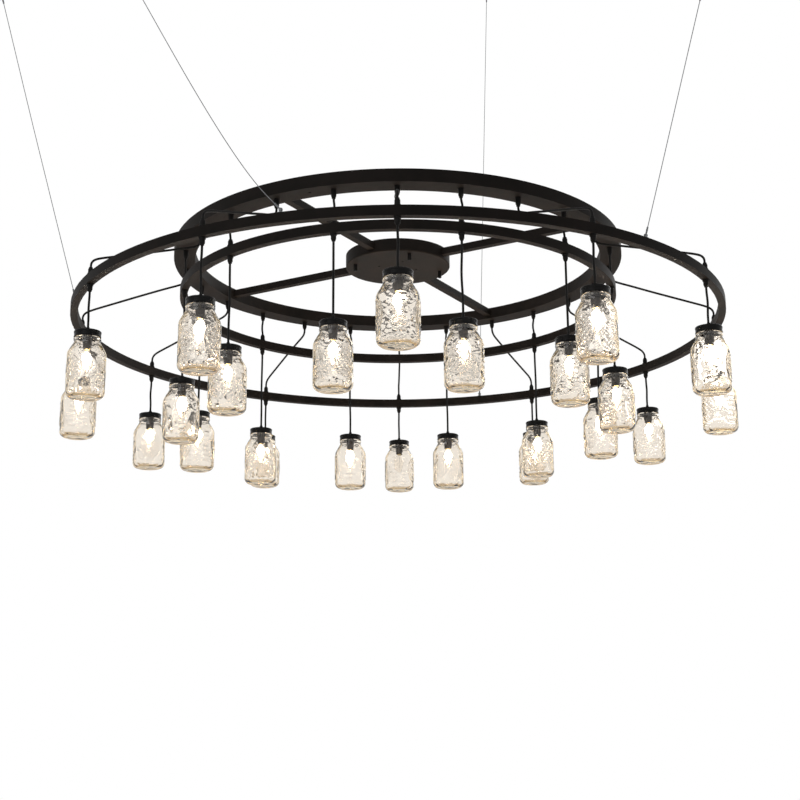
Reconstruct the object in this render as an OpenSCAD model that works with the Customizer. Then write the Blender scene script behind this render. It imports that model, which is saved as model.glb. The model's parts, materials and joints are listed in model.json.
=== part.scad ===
// Wagon wheel chandelier: a spoked wheel carries two plain rings below it, and
// twenty-four glass-jar pendants hang from the rings. Millimetres, Z up.
// The origin is the centre of the hub's back face. Azimuth 0 looks towards -Y
// and grows towards +X, seen from above.

/* [Wheel] */
// Outer diameter of the wheel
wheel_d = 1280; // [1000:10:1500]
// Radial width of the wheel's channel
wheel_w = 60; // [50:1:80]
// Height of the wheel's channel with its cover
wheel_h = 34; // [30:1:50]
// Depth of the wheel's cover below the hub's back face
wheel_drop = 2; // [2:0.5:10]
// Sheet thickness of the channel and of its cover
sheet_t = 2; // [1:0.5:3]
// Width of the channel's folded lips
lip_w = 12; // [8:1:14]
// Number of cord grips under the wheel
wheel_ports = 24; // [24:24:24]

/* [Spokes] */
// Number of spokes
spoke_count = 4; // [3:1:5]
// Azimuth of the first spoke
spoke_az = -30; // [-40:1:-20]
// Side of the square spoke tube
spoke_w = 20; // [14:1:22]
// Wall of the spoke tube
spoke_t = 2; // [1:0.5:3]
// How far a spoke reaches into the channel
spoke_in = 10; // [4:1:12]
// Radius at which the spokes end inside the hub
spoke_end_r = 76; // [70:1:100]

/* [Hub] */
// Outer diameter of the hub
hub_d = 300; // [260:5:400]
// Height of the hub
hub_h = 37; // [34:1:60]
// Thickness of the back plate
plate_t = 4; // [3:0.5:6]
// Diameter of the cable entry in the back plate
entry_d = 24; // [16:1:40]
// Diameter of the circle of the four mounting bolts
mount_pcd = 120; // [100:5:130]
// Diameter of each mounting bolt hole
mount_hole_d = 6.6; // [5:0.1:9]
// Radius of the four knob nuts under the hub
knob_r = 126; // [110:1:130]
// Diameter of a knob nut
knob_d = 10.5; // [9:0.5:14]
// Length of a knob nut
knob_l = 20; // [12:1:30]
// Diameter of the studs that the knob nuts close
stud_d = 6; // [4:1:7]
// Radius of the four small screws near the middle of the pan
small_screw_r = 55; // [50:1:56]

/* [Middle ring] */
// Outer diameter of the middle ring
middle_d = 1240; // [1000:10:1300]
// Depth of its top face below the hub's back face
middle_drop = 127; // [120:1:200]

/* [Outer ring] */
// Outer diameter of the outer ring
outer_d = 1830; // [1600:10:2000]
// Depth of its top face below the hub's back face
outer_drop = 207; // [200:1:260]

/* [Ring tube] */
// Radial width of the tube of both lower rings
tube_w = 20; // [18:1:30]
// Height of the tube of both lower rings
tube_h = 25; // [20:1:40]
// Wall of the tube
tube_t = 1.5; // [1:0.5:3]
// Number of pendants on each ring
pendants = 12; // [12:12:12]

/* [Cords] */
// Diameter of the black cord
cord_d = 6; // [5:0.5:7]
// Clearance round a cord in its grip
cord_gap = 0.4; // [0.3:0.1:0.6]
// Drop from the outer ring's grips to the tops of the lids
outer_cord = 107; // [80:1:200]
// Drop from the middle ring's grips to the tops of the lids
middle_cord = 223; // [180:1:300]

/* [Cord grips] */
// Diameter of a grip's body
grip_d = 13.5; // [12:0.5:16]
// Length of a grip under the wheel
wheel_grip_l = 24; // [20:1:30]
// Length of a grip on a ring
ring_grip_l = 20; // [16:1:26]
// Diameter of the collar where a grip meets a ring
collar_d = 17; // [16:0.5:19]
// Diameter of a grip's threaded nipple
nipple_d = 10; // [9:0.5:11]

/* [Lid and socket] */
// Diameter of the screw lid
lid_d = 69; // [69:1:75]
// Height of the lid's band
lid_h = 16; // [12:1:20]
// Sheet thickness of the lid
lid_t = 0.8; // [0.5:0.1:1]
// Diameter of the lamp socket
socket_d = 24; // [20:1:28]
// Length of the socket below the lid's top
socket_l = 46; // [40:1:50]
// Diameter of the strain relief at the lid
relief_d = 14; // [12:1:20]
// Height of the strain relief
relief_h = 12; // [8:1:20]

/* [Bulb] */
// Largest diameter of the bulb
bulb_d = 33; // [28:1:38]
// Length of the bulb's glass below the socket
bulb_l = 64; // [50:1:80]
// Diameter of the bulb's screw cap
cap_d = 14; // [12:1:15]

/* [Jar] */
// Largest diameter of the jar
jar_d = 97.8; // [90:0.1:110]
// Height of lid and jar together
jar_h = 173; // [160:1:200]
// Diameter of the jar's threaded mouth
mouth_d = 66; // [60:0.5:66]
// Thickness of the glass
glass_t = 3; // [2:0.5:4]
// Thickness of the jar's base
glass_base_t = 5; // [4:0.5:8]
// Radius of the rounding of the jar's base
base_r = 16; // [12:1:20]
// Height of the glass bead below the lid
bead_h = 13; // [8:1:14]

/* [Suspension cables] */
// Diameter of the steel cable
cable_d = 2; // [1.5:0.5:3]
// Diameter of the hole in a cable's end eye
eye_hole_d = 8.5; // [6:0.5:10]
// Outer diameter of a cable's end eye
eye_d = 24; // [20:1:30]
// Thickness of a cable's end eye
eye_t = 5; // [4:0.5:8]

/* [Hidden] */
$fn = 48;
eps = 0.01;
seat_gap = 0.1;                 // play between pieces that sit on each other
fit_gap = 0.4;                  // play round a piece in its hole

// Heights, from the hub's back face down
wheel_top_z = -wheel_drop;
wheel_bottom_z = wheel_top_z - wheel_h;
cover_under_z = wheel_top_z - sheet_t;
lip_under_z = cover_under_z - sheet_t;
floor_z = wheel_bottom_z + sheet_t;
spoke_top_z = lip_under_z - fit_gap;
spoke_z = spoke_top_z - spoke_w / 2;
middle_top_z = -middle_drop;
middle_bottom_z = middle_top_z - tube_h;
outer_top_z = -outer_drop;
outer_bottom_z = outer_top_z - tube_h;

// Radii
wheel_ri = wheel_d / 2 - wheel_w;
wheel_port_r = wheel_d / 2 - wheel_w / 2;
middle_r = middle_d / 2 - tube_w / 2;
outer_r = outer_d / 2 - tube_w / 2;
pan_t = 2;                      // sheet thickness of the hub's pan
pan_ri = hub_d / 2 - pan_t;
cord_r = cord_d / 2;
grip_bore_r = cord_r + cord_gap;
nipple_r = nipple_d / 2;
nut_r = 10;                     // corner radius of a grip's hexagon nut
nut_h = 5;
nipple_up = 9;                  // reach of a nipple into the channel
nipple_in = 6;                  // reach of a nipple into a ring tube
screw_r = 1.6;                  // cover and pan screws
screw_head_r = 3.4;
screw_head_h = 1.8;
cover_screws = 12;
floor_screw_az = -21;           // azimuth of the earth screw in the channel's floor
bolt_az = 15;                   // azimuth of the first mounting bolt, knob nut and pan screw
harness_r = 4;                  // wire bundle in the channel
wire_r = 3;                     // lead in a spoke

// Pivots of the pendants: the mouths of the grips under the rings
middle_pivot_z = middle_bottom_z - ring_grip_l;
outer_pivot_z = outer_bottom_z - ring_grip_l;

// Azimuths of the pendants, and how much longer each cord hangs than the rest
function outer_az(i) = i * 360 / pendants;
function middle_az(i) = (i + 0.5) * 360 / pendants;
outer_trim = [2, 5, 0, 0, -5, -3, -4, 0, 0, 0, 0, 24];
middle_trim = [-16, -16, -7, 0, 4, 8, 8, 20, 30, 14, 0, -16];

// Pendant, from the lid's top down
relief_z = relief_h + seat_gap;
lid_roll_r = 1.2;               // rolled lower edge of the lid's band
socket_under_lid = lid_t + seat_gap;
cap_in = 20;                    // reach of the bulb's cap into the socket
bead_z = lid_h + bead_h;
neck_r = mouth_d / 2;
shoulder_a = 30;                // slope of the jar's shoulder
shoulder_r = 26;                // rounding from shoulder to body

// Feed cord from a wheel grip to a grip on the outer ring:
// distance outwards from the wheel grip, sideways bow, drop below its mouth
outer_route = [
    [0, 0, 0], [0, 0, 6], [2, 0, 12], [7, 0, 18], [15, -1, 22.5],
    [30, -2, 27.5], [60, -3, 36], [100, -4, 48], [140, -4, 60],
    [180, -3, 72], [220, -2, 84], [255, -1, 94.5], [273, 0, 100.5],
    [284, 0, 105.5], [291, 0, 111.5], [294.5, 0, 119], [295, 0, 128]
];
// The same from a wheel grip to a grip on the middle ring
middle_route = [[0, 0, 0], [0, 1, 8], [0, 3, 18], [0, 3, 30], [0, 1, 40], [0, 0, 47]];
// Share of the sideways bow that each of the twelve cords takes
outer_bow = [1, -0.5, 0.6, -0.8, 0.4, -0.6, 0.8, -0.4, 0.5, -0.7, 0.6, 0.3];
middle_bow = [1, -1, 0.6, -0.6, 1, 0.5, -1, 0.8, -0.5, 1, -0.8, 0.6];

// Suspension cables: azimuth of the foot on the outer ring, azimuth of the
// lean, and points of the cable as [distance along the lean, height]
cables = [
    [-74, -74, [[0, 0], [45, 160], [90, 320], [135, 480], [182, 650], [241, 865]]],
    [-17, -90, [[0, 0], [52, 58], [100, 125], [152, 208], [210, 308], [268, 413], [325, 518], [350, 563]]],
    [41, 41, [[0, 0], [52, 140], [104, 281], [156, 422], [208, 562]]],
    [162, 162, [[0, 0], [60, 410], [120, 820], [180, 1230], [243, 1660]]]
];
post_h = 9;                     // post of a cable foot above the ring
post_r = 4;
foot_r = 7;
foot_h = 3;
ball_r = 5;
sleeve_r = 2.5;                 // crimped sleeves on a cable
sleeve_l = 16;

// ---------------------------------------------------------------- helpers

// Points of an arc round c in the half plane [radius, height]
function arc(c, r, a0, a1, n = 6) =
    [for (i = [0:n]) c + r * [cos(a0 + (a1 - a0) * i / n), sin(a0 + (a1 - a0) * i / n)]];

// Children moved out to a radius, at an azimuth and a height
module at(az, r, z) {
    rotate([0, 0, az]) translate([0, -r, z]) children();
}

// Square section from radius r0 to r1 and height z0 to z1, turned full circle
module band(r0, r1, z0, z1, facets = 180) {
    rotate_extrude($fn = facets) translate([r0, z0]) square([r1 - r0, z1 - z0]);
}

function unit(v) = v / norm(v);
function tangent(p, i) =
    unit(p[min(i + 1, len(p) - 1)] - p[max(i - 1, 0)]);

// Tube swept along points, closed at both ends. The end faces lie square to
// end_dir where one is given, and else to the tube itself.
module tube(p, r, side, end_dir = undef) {
    n = len(p);
    sides = 8;
    rings = [for (i = [0:n - 1])
        let (is_end = i == 0 || i == n - 1,
             t = is_end && !is_undef(end_dir) ? end_dir : tangent(p, i),
             u = unit(cross(t, side)), v = cross(t, u))
        for (k = [0:sides - 1]) p[i] + r * (cos(360 * k / sides) * u + sin(360 * k / sides) * v)];
    walls = [for (i = [0:n - 2], k = [0:sides - 1])
        let (a = i * sides + k, b = i * sides + (k + 1) % sides)
        each [[a, b + sides, b], [a, a + sides, b + sides]]];
    caps = [[for (k = [0:sides - 1]) k], [for (k = [sides - 1:-1:0]) (n - 1) * sides + k]];
    polyhedron(rings, concat(walls, caps));
}

// ---------------------------------------------------------------- hub

// Back plate with a pad over each spoke, which ends just short of the pan
module hub_plate() {
    pad_r = pan_ri - 6;
    pad_under_z = spoke_top_z + seat_gap;
    color("#1b1a19") difference() {
        union() {
            translate([0, 0, -plate_t]) cylinder(h = plate_t, r = pan_ri - fit_gap, $fn = 120);
            for (k = [0:spoke_count - 1])
                at(spoke_az + k * 360 / spoke_count, pad_r, pad_under_z)
                    translate([-spoke_w / 2, 0, 0])
                        cube([spoke_w, pad_r - spoke_end_r, -plate_t - pad_under_z + eps]);
        }
        translate([0, 0, -2 * plate_t]) cylinder(h = 3 * plate_t, d = entry_d);
        for (k = [0:3]) {
            at(k * 90 + bolt_az, mount_pcd / 2, -2 * plate_t) cylinder(h = 3 * plate_t, d = mount_hole_d);
            at(k * 90 + bolt_az, knob_r, -2 * plate_t) cylinder(h = 3 * plate_t, d = stud_d + fit_gap);
        }
    }
    color("#2a2826") grommet();
    color("#d9d4c8") terminal_block();
}

// Rubber grommet in the cable entry
module grommet() {
    edge = entry_d / 2;
    rotate_extrude() polygon([
        [edge - 3, -plate_t - 2], [edge + 3, -plate_t - 2], [edge + 3, -plate_t - seat_gap],
        [edge - seat_gap, -plate_t - seat_gap], [edge - seat_gap, 0], [edge - 3, 0]]);
}

// Four-way terminal block under the plate, beside the cable entry, with two
// rows of clamp holes from below
module terminal_block() {
    way = 12;
    depth = 20;
    height = 16;
    clamp_d = 5;
    translate([-2 * way, entry_d / 2 + 8, -plate_t - seat_gap - height]) difference() {
        cube([4 * way, depth, height]);
        for (i = [0:3], y = [depth / 4, depth * 3 / 4])
            translate([way * (i + 0.5), y, -1]) cylinder(h = height / 2 + 1, d = clamp_d);
    }
}

module hub_pan() {
    edge_r = 3;
    top_z = -1;
    color("#141312") difference() {
        rotate_extrude($fn = 120) difference() {
            union() {
                translate([0, -hub_h]) square([hub_d / 2 - edge_r, edge_r + eps]);
                translate([0, -hub_h + edge_r]) square([hub_d / 2, hub_h - edge_r + top_z]);
                translate([hub_d / 2 - edge_r, -hub_h + edge_r]) circle(r = edge_r, $fn = 32);
            }
            translate([-1, -hub_h + pan_t]) square([pan_ri + 1, hub_h]);
            translate([-2 * hub_d, -2 * hub_h]) square([2 * hub_d, 4 * hub_h]);
        }
        for (k = [0:spoke_count - 1])
            at(spoke_az + k * 360 / spoke_count, hub_d / 2, spoke_z)
                cube([spoke_w + 2 * fit_gap, 20, spoke_w + 2 * fit_gap], center = true);
        for (k = [0:3]) {
            at(k * 90 + bolt_az, knob_r, -hub_h - 1) cylinder(h = pan_t + 2, d = stud_d + fit_gap);
            at(k * 90 + bolt_az, small_screw_r, -hub_h - 1)
                cylinder(h = pan_t + 2, r = screw_r + fit_gap / 2);
        }
    }
}

// Pan-head screw through a face at z = 0, with its head above
module screw(length) {
    cylinder(h = screw_head_h, r1 = screw_head_r, r2 = screw_head_r - 0.8);
    translate([0, 0, -length]) cylinder(h = length + eps, r = screw_r);
}

// Studs with knob nuts, the pan's small screws with their nuts, and the
// screws of the wheel's cover
module fixings() {
    color("#1c1b1a") for (k = [0:3]) {
        at(k * 90 + bolt_az, knob_r, -hub_h - seat_gap) knob_nut();
        at(k * 90 + bolt_az, knob_r, 0) stud();
        at(k * 90 + bolt_az, small_screw_r, -hub_h - seat_gap) mirror([0, 0, 1]) screw(8);
        at(k * 90 + bolt_az, small_screw_r, -hub_h + pan_t + seat_gap) difference() {
            cylinder(h = 3, r = 4, $fn = 6);
            translate([0, 0, -1]) cylinder(h = 5, r = screw_r + seat_gap);
        }
    }
    color("#1c1b1a") for (k = [0:cover_screws - 1])
        at(cover_screw_az(k), cover_screw_r(k), wheel_top_z + seat_gap) screw(10);
    color("#1c1b1a")
        at(floor_screw_az, wheel_port_r, wheel_bottom_z - seat_gap) mirror([0, 0, 1]) screw(6);
}

// The cover's screws lie between the ports, by turns on the inner and the outer lip
function cover_screw_az(k) = (k + 0.25) * 360 / cover_screws;
function cover_screw_r(k) =
    k % 2 == 0 ? wheel_ri + lip_w / 2 : wheel_d / 2 - lip_w / 2;

module knob_nut() {
    bore_l = knob_l - 4;
    rotate_extrude() difference() {
        union() {
            translate([0, -knob_l + 2]) square([knob_d / 2, knob_l - 2]);
            translate([0, -knob_l]) square([knob_d / 2 - 2, 3]);
            translate([knob_d / 2 - 2, -knob_l + 2]) circle(r = 2, $fn = 24);
        }
        translate([-1, -bore_l]) square([stud_d / 2 + seat_gap + 1, bore_l + 1]);
        translate([-knob_d, -2 * knob_l]) square([knob_d, 4 * knob_l]);
    }
}

module stud() {
    translate([0, 0, -hub_h - knob_l + 5]) cylinder(h = hub_h + knob_l - 5, d = stud_d);
    translate([0, 0, -plate_t - seat_gap - 4]) difference() {
        cylinder(h = 4, r = 6, $fn = 6);
        translate([0, 0, -1]) cylinder(h = 6, d = stud_d - eps);
    }
}

// ---------------------------------------------------------------- wheel

module spokes() {
    reach = wheel_ri + spoke_in - spoke_end_r;
    color("#151413") for (k = [0:spoke_count - 1])
        at(spoke_az + k * 360 / spoke_count, spoke_end_r + reach / 2, spoke_z) difference() {
            cube([spoke_w, reach, spoke_w], center = true);
            cube([spoke_w - 2 * spoke_t, reach + 2, spoke_w - 2 * spoke_t], center = true);
        }
}

module wheel_channel() {
    color("#161514") difference() {
        rotate_extrude($fn = 180) difference() {
            translate([wheel_ri, wheel_bottom_z]) square([wheel_w, cover_under_z - wheel_bottom_z]);
            translate([wheel_ri + sheet_t, floor_z])
                square([wheel_w - 2 * sheet_t, lip_under_z - floor_z]);
            translate([wheel_ri + lip_w, floor_z]) square([wheel_w - 2 * lip_w, wheel_h]);
        }
        for (k = [0:wheel_ports - 1])
            at(k * 360 / wheel_ports, wheel_port_r, wheel_bottom_z - 1)
                cylinder(h = sheet_t + 2, r = nipple_r + fit_gap / 2);
        for (k = [0:spoke_count - 1])
            at(spoke_az + k * 360 / spoke_count, wheel_ri, spoke_z)
                cube([spoke_w + fit_gap, 4 * sheet_t, spoke_w + fit_gap], center = true);
        for (k = [0:cover_screws - 1])
            at(cover_screw_az(k), cover_screw_r(k), lip_under_z - 1)
                cylinder(h = sheet_t + 2, r = screw_r + seat_gap);
        at(floor_screw_az, wheel_port_r, wheel_bottom_z - 1)
            cylinder(h = sheet_t + 2, r = screw_r + seat_gap);
    }
}

module wheel_cover() {
    color("#121110") difference() {
        band(wheel_ri, wheel_d / 2, cover_under_z + seat_gap, wheel_top_z);
        for (k = [0:cover_screws - 1])
            at(cover_screw_az(k), cover_screw_r(k), cover_under_z - 1)
                cylinder(h = sheet_t + 2, r = screw_r + seat_gap);
    }
}

// ---------------------------------------------------------------- rings

// Ring of rectangular tube, drilled top and bottom for the cord grips
module ring(mid_r, top_z, az0, feet) {
    difference() {
        rotate_extrude($fn = 180) difference() {
            translate([mid_r - tube_w / 2, top_z - tube_h]) square([tube_w, tube_h]);
            translate([mid_r - tube_w / 2 + tube_t, top_z - tube_h + tube_t])
                square([tube_w - 2 * tube_t, tube_h - 2 * tube_t]);
        }
        for (i = [0:pendants - 1])
            at(az0 + i * 360 / pendants, mid_r, top_z - tube_h - 1)
                cylinder(h = tube_h + 2, r = nipple_r + fit_gap / 2);
        for (c = feet)
            at(c[0], mid_r, top_z - tube_t - 1) cylinder(h = tube_t + 2, r = post_r + fit_gap / 2);
    }
}

module middle_ring() {
    color("#151413") ring(middle_r, middle_top_z, middle_az(0), []);
}

module outer_ring() {
    color("#151413") ring(outer_r, outer_top_z, outer_az(0), cables);
}

// ---------------------------------------------------------------- cord grips

// Grip that hangs from a face at z = 0: collar, body, tapered nose and, above
// the face, the threaded nipple
module cord_grip(length, collar_r, collar_h, nipple_l) {
    body_r = grip_d / 2;
    nose_r = grip_bore_r + 1.6;
    body_l = length * 0.7;
    taper_l = length * 0.15;
    rotate_extrude() polygon([
        [grip_bore_r, nipple_l], [nipple_r, nipple_l], [nipple_r, -seat_gap],
        [collar_r, -seat_gap], [collar_r, -collar_h + 0.6], [collar_r - 0.6, -collar_h],
        [body_r, -collar_h], [body_r, -body_l], [nose_r + 0.5, -body_l - taper_l],
        [nose_r, -body_l - taper_l], [nose_r, -length + 0.5], [nose_r - 0.5, -length],
        [grip_bore_r, -length]]);
}

module grip_nut() {
    difference() {
        cylinder(h = nut_h, r = nut_r, $fn = 6);
        translate([0, 0, -1]) cylinder(h = nut_h + 2, r = nipple_r + seat_gap);
    }
}

module cord_grips() {
    color("#121110") for (k = [0:wheel_ports - 1]) {
        at(k * 360 / wheel_ports, wheel_port_r, wheel_bottom_z)
            cord_grip(wheel_grip_l, grip_d / 2 + 0.7, 3, nipple_up);
        at(k * 360 / wheel_ports, wheel_port_r, floor_z + seat_gap) grip_nut();
    }
    color("#121110") for (i = [0:pendants - 1]) {
        at(middle_az(i), middle_r, middle_bottom_z)
            cord_grip(ring_grip_l, collar_d / 2, 5, nipple_in);
        at(middle_az(i), middle_r, middle_top_z) mirror([0, 0, 1])
            cord_grip(ring_grip_l, collar_d / 2, 4, nipple_in);
        at(outer_az(i), outer_r, outer_bottom_z) cord_grip(ring_grip_l, collar_d / 2, 5, nipple_in);
        at(outer_az(i), outer_r, outer_top_z) mirror([0, 0, 1])
            cord_grip(ring_grip_l, collar_d / 2, 4, nipple_in);
    }
}

// ---------------------------------------------------------------- cords

// Free length of a feed cord, from the mouth of its wheel grip to the mouth of
// the ring grip that lies out and drop away. What the route lacks to get there
// is added little by little on the way down.
module feed_cord(az, route, bow, out, drop) {
    last = route[len(route) - 1];
    p = [for (q = route)
        let (share = q[2] / last[2], r = wheel_port_r + q[0] + (out - last[0]) * share)
        [q[1] * bow, -r, wheel_bottom_z - wheel_grip_l - drop * share]];
    rotate([0, 0, az]) tube(p, cord_r, [1, 0, 0], [0, 0, -1]);
}

// Straight stretch of cord inside a ring, from grip to grip
module ring_stub(az, r, top_z, bottom_z) {
    start_z = bottom_z + cord_r + cord_gap;
    at(az, r, start_z) cylinder(h = top_z - seat_gap - start_z, r = cord_r);
}

module feed_cords() {
    mouth_z = wheel_bottom_z - wheel_grip_l;
    color("#0e0e0e") for (i = [0:pendants - 1]) {
        feed_cord(outer_az(i), outer_route, outer_bow[i], outer_r - wheel_port_r,
                  mouth_z - outer_top_z - ring_grip_l);
        feed_cord(middle_az(i), middle_route, middle_bow[i], middle_r - wheel_port_r,
                  mouth_z - middle_top_z - ring_grip_l);
        ring_stub(outer_az(i), outer_r, outer_top_z + ring_grip_l, outer_pivot_z);
        ring_stub(middle_az(i), middle_r, middle_top_z + ring_grip_l, middle_pivot_z);
    }
    color("#0e0e0e") for (k = [0:wheel_ports - 1])
        at(k * 360 / wheel_ports, wheel_port_r, mouth_z + seat_gap)
            cylinder(h = wheel_grip_l + nipple_up + 2, r = cord_r);
    color("#3a3735") harness();
}

// Wire bundle on the channel's floor, and a lead in each spoke
module harness() {
    bundle_r = wheel_d / 2 - sheet_t - harness_r - seat_gap - 1;
    rotate_extrude($fn = 180)
        translate([bundle_r, floor_z + harness_r + seat_gap]) circle(r = harness_r, $fn = 24);
    lead_z = spoke_z - spoke_w / 2 + spoke_t + wire_r + seat_gap;
    for (k = [0:spoke_count - 1])
        at(spoke_az + k * 360 / spoke_count, spoke_end_r, lead_z) rotate([90, 0, 0])
            cylinder(h = wheel_ri + spoke_in - spoke_end_r, r = wire_r, $fn = 24);
}

// ---------------------------------------------------------------- cables

function lean_dir(c) = [sin(c[1]), -cos(c[1]), 0];
function side_dir(c) = [cos(c[1]), sin(c[1]), 0];
function foot(c) = [outer_r * sin(c[0]), -outer_r * cos(c[0]), outer_top_z + post_h];
function cable_point(c, q) = foot(c) + q[0] * lean_dir(c) + q[1] * [0, 0, 1];
function cable_points(c) = [for (q = c[2]) cable_point(c, q)];

// Angle of a stretch of cable from the vertical
function lean(a, b) = atan2(b[0] - a[0], b[1] - a[1]);

// Cable from the ball of its foot to the edge of its end eye
module suspension_cables() {
    color("#8c8f92") for (c = cables) {
        all = cable_points(c);
        n = len(all);
        start = all[0] + (ball_r + seat_gap) * unit(all[1] - all[0]);
        end = all[n - 1] - (eye_d / 2 + seat_gap) * unit(all[n - 1] - all[n - 2]);
        tube([start, for (i = [1:n - 2]) all[i], end], cable_d / 2, side_dir(c));
    }
}

// Foot, sleeves and end eye of each cable
module cable_fittings() {
    color("#55585a") for (c = cables) {
        q = c[2];
        n = len(q);
        top = cable_point(c, q[n - 1]);
        at(c[0], outer_r, outer_top_z) cable_foot();
        translate(foot(c)) rotate([0, 0, c[1]]) rotate([lean(q[0], q[1]), 0, 0])
            translate([0, 0, ball_r + seat_gap]) sleeve();
        translate(top) rotate([0, 0, c[1]]) rotate([lean(q[n - 2], q[n - 1]), 0, 0]) {
            end_eye();
            translate([0, 0, -eye_d / 2 - seat_gap - sleeve_l]) sleeve();
        }
    }
}

module cable_foot() {
    translate([0, 0, -tube_t - 6]) cylinder(h = tube_t + 6 + post_h, r = post_r);
    translate([0, 0, seat_gap]) cylinder(h = foot_h, r = foot_r);
    translate([0, 0, post_h]) sphere(r = ball_r);
}

module sleeve() {
    difference() {
        cylinder(h = sleeve_l, r = sleeve_r, $fn = 24);
        translate([0, 0, -1]) cylinder(h = sleeve_l + 2, r = cable_d / 2 + seat_gap, $fn = 24);
    }
}

module end_eye() {
    rotate([0, 90, 0]) difference() {
        cylinder(h = eye_t, d = eye_d, center = true);
        cylinder(h = eye_t + 2, d = eye_hole_d, center = true);
    }
}

// ---------------------------------------------------------------- pendants

// Everything of a pendant but its jar. The pivot is the local origin and
// drop is the distance from there to the top of the lid.
module lamp(drop) {
    color("#0e0e0e") drop_cord(drop - relief_z - seat_gap);
    translate([0, 0, -drop]) {
        color("#161616") strain_relief();
        color("#121212") lid();
        color("#1d1c1b") socket();
        color("#f3e6c8") bulb();
    }
}

module drop_cord(length) {
    translate([0, 0, -length]) cylinder(h = length, r = cord_r);
    sphere(r = cord_r);
}

module strain_relief() {
    translate([0, 0, seat_gap]) rotate_extrude() polygon([
        [0, 0], [relief_d / 2, 0], [relief_d / 2, 2], [relief_d / 2 - 1.5, 3.5],
        [cord_r + 1, relief_h - 1], [cord_r + 0.6, relief_h], [0, relief_h]]);
}

// Two-piece screw lid drawn as one: flat top with a raised rim, and a band
// with a rolled lower edge
module lid() {
    r = lid_d / 2;
    band_r = r - lid_roll_r;
    rim_r = 3;
    nipple_hole_r = nipple_r + seat_gap;
    rotate_extrude($fn = 96) polygon(concat(
        [[nipple_hole_r, -lid_t], [nipple_hole_r, 0], [r - 8, 0], [r - 6.5, lid_t]],
        [[r - rim_r, lid_t]],
        arc([r - rim_r, lid_t - rim_r], rim_r, 90, 0, 5),
        [[band_r, -6], [band_r, -lid_h + 2 * lid_roll_r]],
        arc([band_r, -lid_h + lid_roll_r], lid_roll_r, 60, -120, 5),
        [[band_r - lid_t, -lid_h + 2], [band_r - lid_t, -lid_t]]));
}

module socket() {
    r = socket_d / 2;
    bore_r = cap_d / 2 + fit_gap;
    rotate_extrude() polygon([
        [0, 0], [nipple_r, 0], [nipple_r, -socket_under_lid], [r - 2, -socket_under_lid],
        [r, -socket_under_lid - 2], [r, -socket_l + 10], [r - 1, -socket_l + 9], [r - 1, -socket_l + 1],
        [r - 2, -socket_l], [bore_r, -socket_l], [bore_r, -socket_l + cap_in + 0.6],
        [0, -socket_l + cap_in + 0.6]]);
}

// Half profile of the bulb's glass: it swells from the cap to its largest
// diameter and closes in a rounded tip
belly = 0.44;
function bulb_r(t) =
    t < belly
        ? cap_d / 2 + (bulb_d - cap_d) / 2 * pow(sin(90 * t / belly), 1.3)
        : bulb_d / 2 * pow(max(cos(90 * (t - belly) / (1 - belly)), 0), 0.62);

module bulb() {
    steps = 12;
    translate([0, 0, -socket_l]) rotate_extrude() polygon(concat(
        [[0, cap_in], [cap_d / 2 - 3, cap_in], [cap_d / 2, cap_in - 3], [cap_d / 2, 0]],
        [for (i = [1:steps - 1]) [bulb_r(i / steps), -bulb_l * i / steps]],
        [[0, -bulb_l]]));
}

// Outline of the jar drawn inwards by a distance: mouth, bead, sloping
// shoulder, straight body and rounded base
function jar_outline(inset, base_z) =
    let (body_r = jar_d / 2 - inset,
         round_r = shoulder_r - inset,
         cut_r = base_r - inset,
         mouth_r = neck_r - inset,
         slope = tan(shoulder_a),
         body_top = -bead_z - (body_r - round_r * (1 - cos(shoulder_a)) - mouth_r) / slope
                    - round_r * sin(shoulder_a))
    concat(
        [[mouth_r, -bead_z]],
        arc([body_r - round_r, body_top], round_r, shoulder_a, 0, 4),
        arc([body_r - cut_r, base_z + cut_r], cut_r, 0, -90, 6));

module jar() {
    top_z = -lid_t - 2 * seat_gap;
    bead_r = lid_d / 2;
    thread_r = min(neck_r, bead_r - lid_roll_r - lid_t - 2 * seat_gap);
    inside = jar_outline(glass_t, -jar_h + glass_base_t);
    rotate_extrude($fn = 96) polygon(concat(
        [[thread_r - glass_t, top_z], [thread_r, top_z], [thread_r, -lid_h - seat_gap]],
        [[thread_r + 1.2, -lid_h - 1], [bead_r - 0.5, -lid_h - 4], [bead_r, -lid_h - 7],
         [bead_r - 0.5, -lid_h - bead_h + 3]],
        jar_outline(0, -jar_h),
        [[0, -jar_h], [0, -jar_h + glass_base_t]],
        [for (i = [len(inside) - 1:-1:0]) inside[i]]));
}

module outer_lamp(i) {
    at(outer_az(i), outer_r, outer_pivot_z) lamp(outer_cord + outer_trim[i]);
}

module middle_lamp(i) {
    at(middle_az(i), middle_r, middle_pivot_z) lamp(middle_cord + middle_trim[i]);
}

module outer_jar(i) {
    color("#e9e2d2", 0.4)
        at(outer_az(i), outer_r, outer_pivot_z - outer_cord - outer_trim[i]) jar();
}

module middle_jar(i) {
    color("#e9e2d2", 0.4)
        at(middle_az(i), middle_r, middle_pivot_z - middle_cord - middle_trim[i]) jar();
}

hub_plate();
hub_pan();
fixings();
spokes();
wheel_channel();
wheel_cover();
middle_ring();
outer_ring();
cord_grips();
feed_cords();
suspension_cables();
cable_fittings();
for (i = [1:pendants]) {
    outer_lamp(i - 1);
    outer_jar(i - 1);
    middle_lamp(i - 1);
    middle_jar(i - 1);
}
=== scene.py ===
import json
import math

import bpy
import numpy as np
from mathutils import Matrix, Vector


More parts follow.
